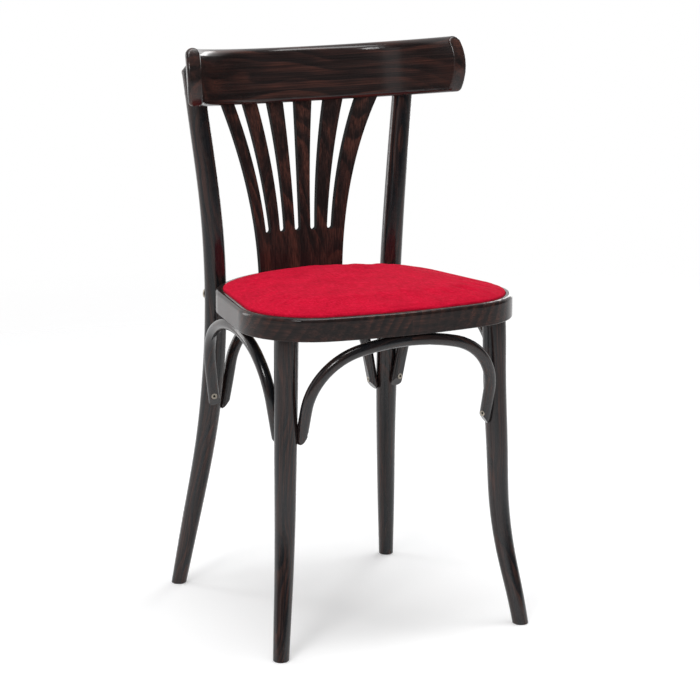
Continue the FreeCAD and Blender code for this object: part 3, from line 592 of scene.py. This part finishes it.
FLOOR_GLOW = 0.30
ROOM_GLOW = 0.06
FLOOR_SIDES = 96
FLOOR_REACH = 3.0
FLOOR_FADE = (700.0, 2900.0)
LAMP_AIM = (0.0, 0.0, 0.4)
LAMPS = (
    ("key_left", (-2.4, -2.2, 2.7), (0.9, 0.9), 34.0),
    ("overhead", (0.1, -0.3, 2.9), (2.4, 0.9), 46.0),
    ("front_panel", (-3.1, -1.8, 1.3), (0.9, 1.6), 2.6),
    ("rim_left", (-1.7, 2.2, 1.0), (0.7, 1.6), 14.0),
    ("rim_right", (2.0, 1.9, 1.0), (0.7, 1.6), 14.0),
)
CAMERA_PLACE = (-1.6196, -3.3194, 1.1756)
CAMERA_TARGET = (0.0, -0.02369, 0.3911)
CAMERA_LENS = 133.2


def floor():
    """Pale round floor that keeps the shadow and fades out into the white background."""
    mesh = bpy.data.meshes.new("studio_floor")
    turns = [2 * math.pi * step / FLOOR_SIDES for step in range(FLOOR_SIDES)]
    rim = [(FLOOR_REACH * math.cos(turn), FLOOR_REACH * math.sin(turn), 0) for turn in turns]
    mesh.from_pydata(rim, [], [tuple(range(FLOOR_SIDES))])
    piece = bpy.data.objects.new("studio_floor", mesh)
    bpy.context.scene.collection.objects.link(piece)
    s = Surface("pale_floor")
    distance = s.vector("LENGTH", s.place)
    seen = s.math("MULTIPLY", background_rays(s.tree), FLOOR_GLOW)
    s.feed(s.shader.inputs["Emission Strength"], seen)
    s.feed(s.shader.inputs["Alpha"], s.between(distance, *FLOOR_FADE, 1.0, 0.0))
    grain = s.noise(s.vector("SCALE", s.place, scale=0.01), detail=3.0)
    colour = s.ramp(grain, (0.0, (0.80, 0.80, 0.80)), (1.0, (0.83, 0.83, 0.83)))
    s.finish(colour, Roughness=0.9, Specular_IOR_Level=0.0, Emission_Color=(1, 1, 1, 1))
    mesh.materials.append(s.material)


def background_rays(tree):
    """1 for rays from the camera, in reflections and through glass, else 0."""
    path = tree.nodes.new("ShaderNodeLightPath")
    total = path.outputs["Is Camera Ray"]
    for name in ("Is Glossy Ray", "Is Transmission Ray"):
        larger = tree.nodes.new("ShaderNodeMath")
        larger.operation = "MAXIMUM"
        tree.links.new(total, larger.inputs[0])
        tree.links.new(path.outputs[name], larger.inputs[1])
        total = larger.outputs[0]
    return total


def world():
    """White to the camera; in reflections, a white sweep behind and below and a dim room in front."""
    scene_world = bpy.data.worlds.new("studio")
    scene_world.use_nodes = True
    tree = scene_world.node_tree
    tree.nodes.clear()

    def node(kind, links=(), **values):
        made = tree.nodes.new(kind)
        for key, value in values.items():
            made.inputs[key.replace("_", " ")].default_value = value
        for socket, source in links:
            tree.links.new(source, made.inputs[socket])
        return made

    way = node("ShaderNodeSeparateXYZ", [(0, node("ShaderNodeTexCoord").outputs["Generated"])])
    behind = node("ShaderNodeMapRange", [("Value", way.outputs[1])],
                  From_Min=0.02, From_Max=0.35, To_Min=ROOM_GLOW, To_Max=1.0)
    below = node("ShaderNodeMapRange", [("Value", way.outputs[2])],
                 From_Min=-0.02, From_Max=-0.16, To_Min=ROOM_GLOW, To_Max=0.8)
    seen = node("ShaderNodeMath", [(0, behind.outputs[0]), (1, below.outputs[0])])
    seen.operation = "MAXIMUM"
    to_camera = node("ShaderNodeMath", [(0, seen.outputs[0]),
                                        (1, node("ShaderNodeLightPath").outputs["Is Camera Ray"])])
    to_camera.operation = "MAXIMUM"
    soft = node("ShaderNodeBackground", Color=(0.97, 0.98, 1.0, 1), Strength=0.42)
    white = node("ShaderNodeBackground", [("Strength", to_camera.outputs[0])], Color=(1, 1, 1, 1))
    mix = node("ShaderNodeMixShader", [(0, background_rays(tree)), (1, soft.outputs[0]),
                                       (2, white.outputs[0])])
    node("ShaderNodeOutputWorld", [("Surface", mix.outputs[0])])
    bpy.context.scene.world = scene_world


def softbox(name, place, size, power):
    """Area lamp that lights the chair and stays out of the camera's sight."""
    data = bpy.data.lights.new(name, "AREA")
    data.shape = "RECTANGLE"
    data.size, data.size_y = size
    data.energy = power
    lamp = bpy.data.objects.new(name, data)
    lamp.location = place
    lamp.rotation_euler = (Vector(LAMP_AIM) - Vector(place)).to_track_quat("-Z", "Y").to_euler()
    lamp.visible_camera = False
    bpy.context.scene.collection.objects.link(lamp)


def camera():
    data = bpy.data.cameras.new("photo_camera")
    data.sensor_width = 36.0
    data.lens = CAMERA_LENS
    data.clip_end = 60.0
    lens = bpy.data.objects.new("photo_camera", data)
    target = Vector(CAMERA_TARGET)
    lens.location = Vector(CAMERA_PLACE)
    lens.rotation_euler = (target - lens.location).to_track_quat("-Z", "Y").to_euler()
    bpy.context.scene.collection.objects.link(lens)
    bpy.context.scene.camera = lens


floor()
world()
for lamp in LAMPS:
    softbox(*lamp)
camera()
bpy.context.scene.view_settings.view_transform = "Standard"
